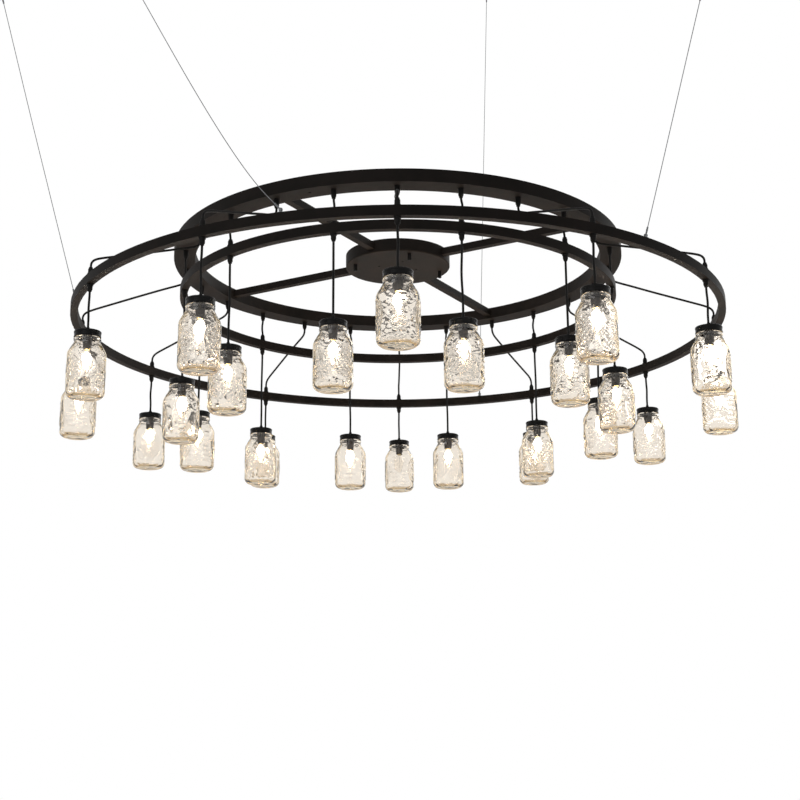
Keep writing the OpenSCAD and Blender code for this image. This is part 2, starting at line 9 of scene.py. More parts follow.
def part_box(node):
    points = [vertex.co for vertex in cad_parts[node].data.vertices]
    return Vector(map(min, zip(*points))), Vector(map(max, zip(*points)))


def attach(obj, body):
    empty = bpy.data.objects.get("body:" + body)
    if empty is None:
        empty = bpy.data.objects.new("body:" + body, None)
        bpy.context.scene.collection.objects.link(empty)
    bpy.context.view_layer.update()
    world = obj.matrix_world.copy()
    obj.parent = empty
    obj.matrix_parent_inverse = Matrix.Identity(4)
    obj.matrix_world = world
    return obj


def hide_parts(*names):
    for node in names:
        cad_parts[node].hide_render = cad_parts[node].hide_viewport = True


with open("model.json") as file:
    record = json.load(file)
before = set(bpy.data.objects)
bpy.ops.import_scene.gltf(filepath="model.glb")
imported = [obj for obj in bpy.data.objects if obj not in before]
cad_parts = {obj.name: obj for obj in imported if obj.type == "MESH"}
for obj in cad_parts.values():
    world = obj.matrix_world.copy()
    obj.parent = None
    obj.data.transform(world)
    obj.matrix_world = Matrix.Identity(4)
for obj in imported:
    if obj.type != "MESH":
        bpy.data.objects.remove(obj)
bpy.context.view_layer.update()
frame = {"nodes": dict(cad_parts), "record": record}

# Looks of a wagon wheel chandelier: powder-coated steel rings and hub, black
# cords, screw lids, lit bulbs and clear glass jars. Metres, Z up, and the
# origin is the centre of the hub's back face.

MM = 0.001
PENDANTS = 12
CORD_R = 3 * MM
CABLE_R = 1 * MM
SEAT_GAP = 0.1 * MM
RELIEF_H = 12 * MM


# ------------------------------------------------------------- the frame

def corners(node):
    """Lowest and highest corner of a CAD node."""
    lo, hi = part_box(node)
    return np.array(lo), np.array(hi)


wheel_lo, wheel_hi = corners("wheel_channel")
middle_lo, middle_hi = corners("middle_ring")
outer_lo, outer_hi = corners("outer_ring")

TUBE_W = 20 * MM
WHEEL_W = 60 * MM
WHEEL_GRIP_L = 24 * MM
RING_GRIP_L = 20 * MM
port_r = wheel_hi[0] - WHEEL_W / 2
middle_r = middle_hi[0] - TUBE_W / 2
outer_r = outer_hi[0] - TUBE_W / 2
wheel_mouth_z = wheel_lo[2] - WHEEL_GRIP_L

# Each pendant's pivot is the mouth of its grip, and its jar's top lies just
# under the lid's top.
LID_TOP_OVER_JAR = 1 * MM
pendants = []
for joint in frame["record"]["behaviour"]["joints"]:
    row = joint["name"].split("_")[0]
    number = int(joint["name"].split("_")[-1])
    jar_hi = corners(f"{row}_jar_{number}")[1]
    pivot = np.array(joint["pos_m"], float)
    pendants.append({
        "row": row, "number": number, "body": joint["child"], "pivot": pivot,
        "lid": np.array([pivot[0], pivot[1], jar_hi[2] + LID_TOP_OVER_JAR]),
    })
JAR_H = pendants[0]["lid"][2] - corners(f"{pendants[0]['row']}_jar_{pendants[0]['number']}")[0][2]


# ---------------------------------------------------------------- camera

def make_camera():
    """The photograph's view: from below the rings, nearly level with the lowest jars, looking up."""
    place = (0, -3.8405, -1.3791)
    yaw, pitch, roll = math.radians(0.05), math.radians(13.879), math.radians(-0.435)
    data = bpy.data.cameras.new("camera")
    data.sensor_width = 36
    data.lens = 62.99
    data.clip_end = 200
    camera = bpy.data.objects.new("camera", data)
    camera.matrix_world = (
        Matrix.Translation(place) @ Matrix.Rotation(-yaw, 4, "Z")
        @ Matrix.Rotation(math.pi / 2 + pitch, 4, "X") @ Matrix.Rotation(roll, 4, "Z"))
    bpy.context.scene.collection.objects.link(camera)
    bpy.context.scene.camera = camera


make_camera()


# ------------------------------------------------------- making of meshes

def make_piece(name, points, quads, triangles=(), polygons=(), uv=None, marks=None, sharp=40):
    """A mesh object from an array of points and arrays of corner indices.

    Edges that turn by more than sharp degrees stay sharp. uv holds one pair for each point, and marks names
    arrays of one number for each point, which the material reads by those names."""
    mesh = bpy.data.meshes.new(name)
    parts = [np.asarray(f, np.int32).ravel() for f in (quads, triangles)]
    sizes = [4] * (len(parts[0]) // 4) + [3] * (len(parts[1]) // 3)
    for polygon in polygons:
        parts.append(np.asarray(polygon, np.int32))
        sizes.append(len(polygon))
    loops = np.concatenate(parts)
    starts = np.concatenate([[0], np.cumsum(sizes)[:-1]]).astype(np.int32)
    mesh.vertices.add(len(points))
    mesh.vertices.foreach_set("co", np.asarray(points, np.float32).ravel())
    mesh.loops.add(len(loops))
    mesh.loops.foreach_set("vertex_index", loops)
    mesh.polygons.add(len(sizes))
    mesh.polygons.foreach_set("loop_start", starts)
    mesh.polygons.foreach_set("use_smooth", np.ones(len(sizes), bool))
    if uv is not None:
        layer = mesh.uv_layers.new(name="along")
        layer.data.foreach_set("uv", np.asarray(uv, np.float32)[loops].ravel())
    for mark, values in (marks or {}).items():
        mesh.attributes.new(mark, "FLOAT", "POINT").data.foreach_set("value", np.asarray(values, np.float32))
    mesh.update(calc_edges=True)
    mesh.set_sharp_from_angle(angle=math.radians(sharp))
    made = bpy.data.objects.new(name, mesh)
    bpy.context.scene.collection.objects.link(made)
    return made


def grid_quads(rows, columns, wrap_rows=False):
    """Corner indices of the quads of a grid that closes on itself along its columns, and with wrap_rows also
    along its rows."""
    i = np.arange(rows if wrap_rows else rows - 1)[:, None]
    k = np.arange(columns)[None, :]
    up, on = (i + 1) % rows, (k + 1) % columns
    quads = [i * columns + k, i * columns + on, up * columns + on, up * columns + k]
    return np.stack(quads, -1).reshape(-1, 4)


def spin(outline, segments, push=None):
    """Points and faces of an outline of (radius, height) turned about Z.

    The point at angle a is (r cos a, r sin a, z), and push adds to r at each point of the grid. The outline
    runs up the outside of the solid. It is closed on itself, unless it starts and ends on the axis."""
    outline = np.asarray(outline, float)
    angle = np.arange(segments) * 2 * np.pi / segments
    r = np.repeat(outline[:, :1], segments, axis=1)
    if push is not None:
        r = r + push
    grid = np.stack([r * np.cos(angle), r * np.sin(angle), np.repeat(outline[:, 1:], segments, axis=1)], -1)
    if outline[0, 0] > 1e-9:
        return grid.reshape(-1, 3), grid_quads(len(outline), segments, wrap_rows=True), np.zeros((0, 3), int)
    inner = grid[1:-1].reshape(-1, 3)
    points = np.vstack([inner, grid[0, :1], grid[-1, :1]])
    k = np.arange(segments)
    on = (k + 1) % segments
    last = len(inner) - segments
    foot = np.stack([np.full(segments, len(inner)), on, k], -1)
    top = np.stack([np.full(segments, len(inner) + 1), last + k, last + on], -1)
    return points, grid_quads(len(outline) - 2, segments), np.vstack([foot, top])


def arc(centre, radius, start, end, steps=8):
    """Points of an arc, centre plus radius times (cos a, sin a), from one angle to the other in degrees."""
    a = np.radians(np.linspace(start, end, steps + 1))
    return np.asarray(centre) + radius * np.stack([np.cos(a), np.sin(a)], -1)


def smooth(points, steps):
    """Points along a Catmull-Rom curve: between two given points each coordinate is a cubic whose slope at
    either end is half the way from the neighbour before to the neighbour after."""
    p = np.asarray(points, float)
    p = np.vstack([2 * p[:1] - p[1:2], p, 2 * p[-1:] - p[-2:-1]])
    a, b, c, d = p[:-3], p[1:-2], p[2:-1], p[3:]
    t = (np.arange(steps) / steps)[:, None, None]
    q = 0.5 * (2 * b + (c - a) * t + (2 * a - 5 * b + 4 * c - d) * t**2 + (3 * b - a - 3 * c + d) * t**3)
    return np.vstack([q.transpose(1, 0, 2).reshape(-1, q.shape[-1]), p[-2:-1]])


def sweep(path, radius, sides=12):
    """Points, quads and end faces of a round tube along a path.

    Each ring is the path's point plus radius times (u cos a + v sin a), where u and v are square to the
    path's direction and turn with it. The uv pairs are the share round the tube and the metres along it."""
    path = np.asarray(path, float)
    along = np.gradient(path, axis=0)
    along /= np.linalg.norm(along, axis=1)[:, None]
    side = np.eye(3)[np.abs(along).max(axis=0).argmin()]
    u = np.cross(side, along)
    u /= np.linalg.norm(u, axis=1)[:, None]
    v = np.cross(along, u)
    a = np.arange(sides) * 2 * np.pi / sides
    rings = path[:, None] + radius * (np.cos(a)[:, None] * u[:, None] + np.sin(a)[:, None] * v[:, None])
    ends = [np.arange(sides)[::-1], (len(path) - 1) * sides + np.arange(sides)]
    run = np.concatenate([[0], np.cumsum(np.linalg.norm(np.diff(path, axis=0), axis=1))])
    uv = np.stack(np.broadcast_arrays((a / (2 * np.pi))[None, :], run[:, None]), -1).reshape(-1, 2)
    return rings.reshape(-1, 3), grid_quads(len(path), sides), ends, uv


def tube_piece(name, path, radius, sides=12):
    """One tube along a path, closed at both ends."""
    points, quads, ends, uv = sweep(path, radius, sides)
    return make_piece(name, points, quads, polygons=ends, uv=uv)


def joined_piece(name, shapes, uv=None):
    """One piece from several shapes, each as (points, quads, triangles, end faces), with their uv pairs."""
    points, quads, triangles, ends, base = [], [], [], [], 0
    for p, q, t, e in shapes:
        points.append(p)
        quads.append(np.asarray(q, int).reshape(-1, 4) + base)
        triangles.append(np.asarray(t, int).reshape(-1, 3) + base)
        ends += [f + base for f in e]
        base += len(p)
    return make_piece(name, np.vstack(points), np.vstack(quads), np.vstack(triangles), ends,
                      uv=None if uv is None else np.vstack(uv))


def turned(points, azimuth):
    """Points turned about Z by an azimuth, which grows from -Y towards +X."""
    c, s = math.cos(azimuth), math.sin(azimuth)
    return np.asarray(points, float) @ np.array([[c, s, 0], [-s, c, 0], [0, 0, 1]])


# ------------------------------------------------------------- materials

def linear(colour):
    """Linear RGBA of an sRGB colour written as hex."""
    share = [int(colour[i:i + 2], 16) / 255 for i in (1, 3, 5)]
    return [c / 12.92 if c <= 0.04045 else ((c + 0.055) / 1.055) ** 2.4 for c in share] + [1]


def add(tree, kind, inputs=(), **settings):
    """A node of that kind with its settings, and with each input set to a value or linked from a socket."""
    made = tree.nodes.new(kind)
    for key, value in settings.items():
        setattr(made, key, value)
    for key, value in dict(inputs).items():
        if isinstance(value, bpy.types.NodeSocket):
            tree.links.new(value, made.inputs[key])
        else:
            made.inputs[key].default_value = value
    return made


def start_material(name):
    """A new material, its node tree and its empty output."""
    material = bpy.data.materials.new(name)
    material.use_nodes = True
    material.node_tree.nodes.clear()
    return material, material.node_tree, add(material.node_tree, "ShaderNodeOutputMaterial")


def ramp(tree, factor, low, high, start=0.0, end=1.0):
    """A colour that runs from low to high as factor runs from start to end."""
    made = add(tree, "ShaderNodeValToRGB", {"Fac": factor})
    made.color_ramp.elements[0].position, made.color_ramp.elements[1].position = start, end
    made.color_ramp.elements[0].color, made.color_ramp.elements[1].color = linear(low), linear(high)
    return made.outputs["Color"]


PATCH = 60 * MM                 # size of a coat's soft patches
COLOUR_A, COLOUR_B, MIXED = 6, 7, 2     # a Mix node's colour inputs and its colour output


def coated(name, dark, light, grain, rough, level, bump):
    """A dark coat: two close colours in soft patches, a fine grain in bump, and a roughness that varies.

    grain is the size of the bump's grains in metres."""
    material, tree, output = start_material(name)
    place = add(tree, "ShaderNodeTexCoord").outputs["Object"]
    patches = add(tree, "ShaderNodeTexNoise", {"Vector": place, "Scale": 1 / PATCH, "Detail": 3.0})
    grains = add(tree, "ShaderNodeTexNoise", {"Vector": place, "Scale": 1 / grain, "Detail": 2.0})
    roughness = add(tree, "ShaderNodeMapRange", {
        "Value": patches.outputs["Fac"], "To Min": rough - 0.06, "To Max": rough + 0.06})
    relief = add(tree, "ShaderNodeBump", {
        "Height": grains.outputs["Fac"], "Strength": bump, "Distance": grain / 4})
    shader = add(tree, "ShaderNodeBsdfPrincipled", {
        "Base Color": ramp(tree, patches.outputs["Fac"], dark, light, 0.3, 0.7),
        "Roughness": roughness.outputs["Result"], "Specular IOR Level": level,
        "Normal": relief.outputs["Normal"]})
    tree.links.new(shader.outputs["BSDF"], output.inputs["Surface"])
    return material


def powder_coat():
    """Satin black polyester powder coat on steel, sprayed and baked: the eye sees a soft, slightly warm black
    with orange peel, drawn here as coarse as 2 mm so that it shows."""
    return coated("powder_coat_black", "#151311", "#201c1a", 2 * MM, 0.6, 0.06, 0.25)


def black_nylon():
    """Moulded black nylon of the cord grips and strain reliefs: darker and duller than the coat."""
    return coated("nylon_black", "#0c0b0b", "#151413", 1.2 * MM, 0.6, 0.12, 0.15)


def black_tinplate():
    """Black enamelled tinplate of the screw lids: smooth with a soft gloss."""
    return coated("tinplate_black", "#080808", "#0e0e0e", 3 * MM, 0.24, 0.12, 0.04)


def phenolic():
    """Moulded black phenolic of the lamp sockets: hard, with a dull shine."""
    return coated("phenolic_black", "#171412", "#231d1a", 1.5 * MM, 0.42, 0.4, 0.08)


def cord_jacket():
    """Extruded black PVC jacket, with fine lengthwise lines from the die: 24 round the cord, each about a
    thirtieth of a metre long. They follow the cord's own uv."""
    material, tree, output = start_material("pvc_jacket_black")
    uv = add(tree, "ShaderNodeUVMap", uv_map="along")
    stretched = add(tree, "ShaderNodeMapping", {"Vector": uv.outputs["UV"], "Scale": (24, 30, 1)})
    lines = add(tree, "ShaderNodeTexNoise", {
        "Vector": stretched.outputs["Vector"], "Scale": 1.0, "Detail": 2.0})
    relief = add(tree, "ShaderNodeBump", {
        "Height": lines.outputs["Fac"], "Strength": 0.3, "Distance": 0.3 * MM})
    shader = add(tree, "ShaderNodeBsdfPrincipled", {
        "Base Color": ramp(tree, lines.outputs["Fac"], "#0a0a0a", "#151413", 0.35, 0.65),
        "Roughness": 0.55, "Specular IOR Level": 0.12, "Normal": relief.outputs["Normal"]})
    tree.links.new(shader.outputs["BSDF"], output.inputs["Surface"])
    return material


def twisted_steel():
    """Stainless steel wire rope: strands that run round it in a steep helix, drawn by the cable's own uv. The
    grooves between them get painted shade, darker than the strands' crests.
    """
    material, tree, output = start_material("steel_wire_rope")
    uv = add(tree, "ShaderNodeUVMap", uv_map="along")
    lay = add(tree, "ShaderNodeMapping", {"Vector": uv.outputs["UV"], "Scale": (1.0, 1 / (6 * MM), 1)})
    strands = add(tree, "ShaderNodeTexWave", {
        "Vector": lay.outputs["Vector"], "Scale": 1.0, "Distortion": 0.0}, bands_direction="DIAGONAL")
    relief = add(tree, "ShaderNodeBump", {
        "Height": strands.outputs["Fac"], "Strength": 0.6, "Distance": 0.3 * MM})
    # Painted shade: the colour darkens down into the grooves between strands, following the bump's height.
    shader = add(tree, "ShaderNodeBsdfPrincipled", {
        "Base Color": ramp(tree, strands.outputs["Fac"], "#4a4b4d", "#8e9092"),
        "Metallic": 1.0, "Roughness": 0.38, "Normal": relief.outputs["Normal"]})
    tree.links.new(shader.outputs["BSDF"], output.inputs["Surface"])
    return material


def turned_steel(name, dark, light):
    """Turned and plated steel under a thin, slightly cloudy plating, drawn as soft clouds in its colour and
    roughness.
    """
    material, tree, output = start_material(name)
    place = add(tree, "ShaderNodeTexCoord").outputs["Object"]
    clouds = add(tree, "ShaderNodeTexNoise", {"Vector": place, "Scale": 1 / (4 * MM), "Detail": 3.0})
    rough = add(tree, "ShaderNodeMapRange", {"Value": clouds.outputs["Fac"], "To Min": 0.28, "To Max": 0.45})
    shader = add(tree, "ShaderNodeBsdfPrincipled", {
        "Base Color": ramp(tree, clouds.outputs["Fac"], dark, light, 0.3, 0.7),
        "Metallic": 1.0, "Roughness": rough.outputs["Result"]})
    tree.links.new(shader.outputs["BSDF"], output.inputs["Surface"])
    return material


def jar_glass():
    """Pressed soda-lime glass: clear, and amber where the way through it is long, at its edges and its heel.
    The mould left its surface wavy at about 17 mm, and the steep flanks of the relief get painted shade: a
    darker, browner tint for the light that their slope bends away."""
    material, tree, output = start_material("soda_lime_glass")
    place = add(tree, "ShaderNodeTexCoord").outputs["Object"]
    waves = add(tree, "ShaderNodeTexNoise", {"Vector": place, "Scale": 1 / (17 * MM), "Detail": 0.6})
    relief = add(tree, "ShaderNodeBump", {
        "Height": waves.outputs["Fac"], "Strength": 0.75, "Distance": 3.4 * MM})
    # Painted shade: the steeper the relief's flank, the darker and browner the glass's tint.
    flank_shade = add(tree, "ShaderNodeAttribute", attribute_name="relief").outputs["Fac"]
    heel = add(tree, "ShaderNodeAttribute", attribute_name="heel").outputs["Fac"]
    facing = add(tree, "ShaderNodeLayerWeight", {"Blend": 0.5}).outputs["Facing"]
    edge = add(tree, "ShaderNodeMapRange", {"Value": facing, "From Min": 0.45, "From Max": 0.85})
    sides = add(tree, "ShaderNodeMix", {
        "Factor": edge.outputs["Result"], COLOUR_A: ramp(tree, flank_shade, "#faf7f3", "#8a7460", 0.12, 0.7),
        COLOUR_B: linear("#dcb760")}, data_type="RGBA")
    tint = add(tree, "ShaderNodeMix", {
        "Factor": heel, COLOUR_A: sides.outputs[MIXED], COLOUR_B: linear("#b38420")}, data_type="RGBA")
    shader = add(tree, "ShaderNodeBsdfPrincipled", {
        "Base Color": tint.outputs[MIXED], "Roughness": 0.0, "IOR": 1.52,
        "Transmission Weight": 1.0, "Normal": relief.outputs["Normal"]})
    cast = add(tree, "ShaderNodeVolumeAbsorption", {"Color": linear("#efdebe"), "Density": 40.0})
    tree.links.new(shader.outputs["BSDF"], output.inputs["Surface"])
    tree.links.new(cast.outputs["Volume"], output.inputs["Volume"])
    return material


def glowing(name, strength):
    """A filament's light as a camera sees it: a bright core, white in its upper half, and dimmer and warmer
    down to its lower tip. The second number of its uv is the height's share."""
    material, tree, output = start_material(name)
    uv = add(tree, "ShaderNodeUVMap", uv_map="along")
    height = add(tree, "ShaderNodeSeparateXYZ", {"Vector": uv.outputs["UV"]}).outputs["Y"]
    glow = add(tree, "ShaderNodeMapRange", {
        "Value": height, "From Min": 0.0, "From Max": 0.5, "To Min": strength * 0.1, "To Max": strength},
        interpolation_type="SMOOTHSTEP")
    shader = add(tree, "ShaderNodeBsdfPrincipled", {
        "Base Color": linear("#fff6e6"), "Roughness": 0.4,
        "Emission Color": ramp(tree, height, "#ffdca6", "#fff8ec", 0.0, 0.4),
        "Emission Strength": glow.outputs["Result"]})
    tree.links.new(shader.outputs["BSDF"], output.inputs["Surface"])
    return material


def clear_bulb():
    """Thin blown bulb glass."""
    material, tree, output = start_material("blown_glass")
    place = add(tree, "ShaderNodeTexCoord").outputs["Object"]
    waves = add(tree, "ShaderNodeTexNoise", {"Vector": place, "Scale": 1 / (12 * MM)})
    relief = add(tree, "ShaderNodeBump", {
        "Height": waves.outputs["Fac"], "Strength": 0.1, "Distance": 0.5 * MM})
    shader = add(tree, "ShaderNodeBsdfPrincipled", {
        "Base Color": linear("#fffdfa"), "Roughness": 0.0, "IOR": 1.48,
        "Transmission Weight": 1.0, "Normal": relief.outputs["Normal"]})
    tree.links.new(shader.outputs["BSDF"], output.inputs["Surface"])
    return material


COAT = powder_coat()
NYLON = black_nylon()
TINPLATE = black_tinplate()
PHENOLIC = phenolic()
JACKET = cord_jacket()
ROPE = twisted_steel()
PLATED = turned_steel("zinc_plated_steel", "#4c4e50", "#7f8183")
GLASS = jar_glass()
GLOW = glowing("filament_glow", 60.0)
BLOWN = clear_bulb()
BRASS = turned_steel("brass_cap", "#a98e58", "#dcc894")


def dress(piece, material, body, slot, *nodes):
    """Gives a piece its material and body, and hides the CAD nodes that it stands for. slot is not used."""
    piece.data.materials.clear()
    piece.data.materials.append(material)
    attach(piece, body)
    if nodes:
        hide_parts(*nodes)
    return piece


# ----------------------------------------------------------------- cords

# Route of a feed cord: distance outwards from the wheel grip, sideways bow and
# drop below its mouth, in millimetres. The bows are the share that each cord takes.
OUTER_ROUTE = [
    (0, 0, 0), (0, 0, 6), (2, 0, 12), (7, 0, 18), (15, -1, 22.5), (30, -2, 27.5),
    (60, -3, 36), (100, -4, 48), (140, -4, 60), (180, -3, 72), (220, -2, 84), (255, -1, 94.5),
    (273, 0, 100.5), (284, 0, 105.5), (291, 0, 111.5), (294.5, 0, 119), (295, 0, 128)]
MIDDLE_ROUTE = [(0, 0, 0), (0, 1, 8), (0, 3, 18), (0, 3, 30), (0, 1, 40), (0, 0, 47)]
OUTER_BOW = [1, -0.5, 0.6, -0.8, 0.4, -0.6, 0.8, -0.4, 0.5, -0.7, 0.6, 0.3]
MIDDLE_BOW = [1, -1, 0.6, -0.6, 1, 0.5, -1, 0.8, -0.5, 1, -0.8, 0.6]

# Suspension cables: azimuth of the foot, azimuth of the lean, and points as
# distance along the lean and height above the foot's ball, in millimetres.
CABLES = [
    (-74, -74, [(0, 0), (45, 160), (90, 320), (135, 480), (182, 650), (241, 865)]),
    (-17, -90, [(0, 0), (52, 58), (100, 125), (152, 208), (210, 308), (268, 413), (325, 518), (350, 563)]),
    (41, 41, [(0, 0), (52, 140), (104, 281), (156, 422), (208, 562)]),
    (162, 162, [(0, 0), (60, 410), (120, 820), (180, 1230), (243, 1660)])]
POST_H = 9 * MM
BALL_R = 5 * MM
EYE_R = 12 * MM
EYE_HOLE_R = 4.25 * MM
EYE_T = 5 * MM
SLEEVE_R = 2.5 * MM
SLEEVE_L = 16 * MM


def feed_path(azimuth, route, bow, drop):
    """Curve of a feed cord from the mouth of its wheel grip, as its route turned to its azimuth."""
    q = np.array(route, float) * MM
    points = np.stack([q[:, 1] * bow, -port_r - q[:, 0], wheel_mouth_z - q[:, 2] * drop / q[-1, 2]], -1)
    return turned(smooth(points, 4), azimuth)


def make_feed_cords():
    """Outer feed cords, one piece each, and the short middle ones as one piece."""
    outer_drop = wheel_mouth_z - outer_hi[2] - RING_GRIP_L
    middle_drop = wheel_mouth_z - middle_hi[2] - RING_GRIP_L
    for i in range(PENDANTS):
        path = feed_path(2 * math.pi * i / PENDANTS, OUTER_ROUTE, OUTER_BOW[i], outer_drop)
        cord = tube_piece(f"outer_feed_cord_{i + 1}", path, CORD_R)
        dress(cord, JACKET, "root", "black_cord", "feed_cords")
    shapes, uvs = [], []
    for i in range(PENDANTS):
        path = feed_path(2 * math.pi * (i + 0.5) / PENDANTS, MIDDLE_ROUTE, MIDDLE_BOW[i], middle_drop)
        points, quads, ends, uv = sweep(path, CORD_R)
        shapes.append((points, quads, [], ends))
        uvs.append(uv)
    dress(joined_piece("middle_feed_cords", shapes, uvs), JACKET, "root", "black_cord", "feed_cords")


def upright(r, azimuth, low_z, high_z):
    """Two points of an upright line at a radius and an azimuth."""
    x, y = r * math.sin(azimuth), -r * math.cos(azimuth)
    return [(x, y, low_z), (x, y, high_z)]


CORD_IN_CHANNEL = 11 * MM       # how far a cord reaches up into the wheel's channel
PIVOT_ROOM = 0.4 * MM           # between a ring's cord and the drop cord that swings below it
LEAD_R = 3 * MM
LEAD_FROM, LEAD_TO = 76 * MM, 590 * MM
SPOKES = 4
FIRST_SPOKE = -30               # azimuth in degrees
SPOKE_WALL = 2 * MM
BUNDLE_R = 4 * MM
BUNDLE_IN, BUNDLE_UP = 7.1 * MM, 6.1 * MM


def make_leads():
    """Cord inside the grips and rings, and the wire bundle and leads inside the wheel and the spokes."""
    rings = [(outer_r, outer_hi[2], outer_lo[2]), (middle_r, middle_hi[2], middle_lo[2])]
    lines = []
    for k in range(2 * PENDANTS):
        azimuth = math.pi * k / PENDANTS
        r, top, low = rings[k % 2]
        lines.append((upright(
            port_r, azimuth, wheel_mouth_z + SEAT_GAP, wheel_lo[2] + CORD_IN_CHANNEL), CORD_R))
        lines.append((upright(
            r, azimuth, low - RING_GRIP_L + CORD_R + PIVOT_ROOM, top + RING_GRIP_L - SEAT_GAP), CORD_R))
    lead_z = corners("spokes")[0][2] + SPOKE_WALL + LEAD_R + SEAT_GAP
    for k in range(SPOKES):
        a = math.radians(FIRST_SPOKE + 360 / SPOKES * k)
        way = np.array([math.sin(a), -math.cos(a), 0])
        lines.append(([way * LEAD_FROM + [0, 0, lead_z], way * LEAD_TO + [0, 0, lead_z]], LEAD_R))
    shapes, uvs = [], []
    for line, radius in lines:
        points, quads, ends, uv = sweep(line, radius)
        shapes.append((points, quads, [], ends))
        uvs.append(uv)
    bundle = arc((wheel_hi[0] - BUNDLE_IN, wheel_lo[2] + BUNDLE_UP), BUNDLE_R, -180, 150, 11)
    points, quads, triangles = spin(bundle, 180)
    shapes.append((points, quads, triangles, []))
    uvs.append(np.zeros((len(points), 2)))
    dress(joined_piece("wire_leads", shapes, uvs), JACKET, "root", "black_cord", "feed_cords")


DROP_POINTS = 22
DROP_BEND = (0.8 * MM, 2.4 * MM)
OUTER_SHARE = 0.8               # of that bend, for the outer row's cords


def drop_path(pendant):
    """Straight down from the grip's mouth to the strain relief, with a slight S bend aside that leaves and
    returns to the straight line smoothly: b sin^2(pi t) sin(1.3 pi t)."""
    pivot, lid = pendant["pivot"], pendant["lid"]
    end_z = lid[2] + RELIEF_H + 2 * SEAT_GAP
    t = np.linspace(0, 1, DROP_POINTS)[:, None]
    random = np.random.default_rng(pendant["number"] + 50 * (pendant["row"] == "outer"))
    turn = random.uniform(0, 2 * math.pi)
    bend = random.uniform(*DROP_BEND) * (1.0 if pendant["row"] == "middle" else OUTER_SHARE)
    aside = bend * np.array([math.cos(turn), math.sin(turn), 0])
    straight = pivot + t * (np.array([pivot[0], pivot[1], end_z]) - pivot)
    return straight + np.sin(math.pi * t) ** 2 * np.sin(1.3 * math.pi * t) * aside


def make_drop_cords():
    """One cord for each pendant, from the mouth of its grip into the strain relief on its lid."""
    for pendant in pendants:
        path = drop_path(pendant)
        name = f"{pendant['row']}_drop_cord_{pendant['number']}"
        node = f"{pendant['row']}_lamp_{pendant['number']}"
        cord = dress(tube_piece(name, path, CORD_R), JACKET, pendant["body"], "black_cord", node)


def eye_shape(centre, across, up):
    """A cable's end eye: a flat ring with rounded edges, spun about the line across, at its centre."""
    soft = 1.6 * MM
    out, hole, high = EYE_R - soft, EYE_HOLE_R + soft, EYE_T / 2 - soft
    outline = np.vstack([
        arc((r, z), soft, start, start + 90, 4)
        for r, z, start in [(out, high, 0), (hole, high, 90), (hole, -high, 180), (out, -high, 270)]])
    points, quads, triangles = spin(outline, 40)
    third = np.cross(across, up)
    return points @ np.stack([up, third, across]) + centre, quads, triangles, []


def sleeve_shape(start, along, across):
    """A crimped sleeve: a tube with rounded ends and two shallow waists where the tool pressed it."""
    share = np.linspace(0, 1, 25)
    waists = np.exp(-((share - 0.3) / 0.09) ** 2) + np.exp(-((share - 0.7) / 0.09) ** 2)
    r = SLEEVE_R * (1 - 0.16 * waists) * np.minimum(1, 0.6 + 0.4 * np.sin(np.pi * share) ** 0.25)
    outline = np.vstack([[(0, 0)], np.stack([r, share * SLEEVE_L], -1), [(0, SLEEVE_L)]])
    points, quads, triangles = spin(outline, 20)
    third = np.cross(along, across)
    return points @ np.stack([across, third, along]) + start, quads, triangles, []


def foot_shape(centre):
    """The cable's foot on the ring: a washer, a post and the ball that the cable leaves."""
    low, stud, deep = -POST_H, 4 * MM, 7.5 * MM
    washer, thick, soft = 7 * MM, 3 * MM, 0.6 * MM
    waist = 3.6 * MM
    outline = np.vstack([
        [(0, low - deep), (stud, low - deep), (stud, low + SEAT_GAP), (washer, low + SEAT_GAP)],
        arc((washer - soft, low + thick - soft), soft, 0, 90, 3), [(stud, low + thick)],
        smooth([(stud, low + 3.2 * MM), (waist, low + 4 * MM), (waist, -4 * MM)], 3),
        arc((0, 0), BALL_R, -44, 90, 10)[:-1], [(0, BALL_R)]])
    points, quads, triangles = spin(outline, 28)
    return points + centre, quads, triangles, []


def make_cables():
    """Each cable from the ball of its foot to the end eye that hangs on a ceiling hook, with both sleeves."""
    for number, (foot_az, lean_az, route) in enumerate(CABLES, 1):
        foot_a, lean_a = math.radians(foot_az), math.radians(lean_az)
        foot = np.array([outer_r * math.sin(foot_a), -outer_r * math.cos(foot_a), outer_hi[2] + POST_H])
        lean = np.array([math.sin(lean_a), -math.cos(lean_a), 0])
        across = np.array([math.cos(lean_a), math.sin(lean_a), 0])
        q = np.array(route, float) * MM
        points = foot + q[:, :1] * lean + q[:, 1:] * np.array([0, 0, 1])
        first = points[1] - points[0]
        first /= np.linalg.norm(first)
        last = points[-1] - points[-2]
        last /= np.linalg.norm(last)
        eye = points[-1].copy()
        points[0] += (BALL_R + SEAT_GAP) * first
        points[-1] -= (EYE_R + SEAT_GAP) * last
        path = smooth(points, 6)
        cable = tube_piece(f"suspension_cable_{number}", path, CABLE_R, 10)
        dress(cable, ROPE, "root", "steel_cable", "suspension_cables")
        end = joined_piece(f"cable_eye_{number}", [
            eye_shape(eye, across, last),
            sleeve_shape(points[-1] - last * SLEEVE_L, last, across)])
        dress(end, PLATED, "root", "steel_fittings", "cable_fittings")
        base = joined_piece(f"cable_foot_{number}", [
            foot_shape(foot), sleeve_shape(foot + (BALL_R + SEAT_GAP) * first, first, across)])
        dress(base, PLATED, "root", "steel_fittings", "cable_fittings")


make_feed_cords()
make_leads()
make_drop_cords()
make_cables()


# -------------------------------------------------- the fixed steel parts

for node, material in {
        "hub_plate": COAT, "hub_pan": COAT, "fixings": NYLON, "spokes": COAT, "wheel_channel": COAT,
        "wheel_cover": COAT, "middle_ring": COAT, "outer_ring": COAT, "cord_grips": NYLON}.items():
    cad = frame["nodes"][node]
    cad.data.materials.clear()
    cad.data.materials.append(material)


# ----------------------------------------------------------- the pendants

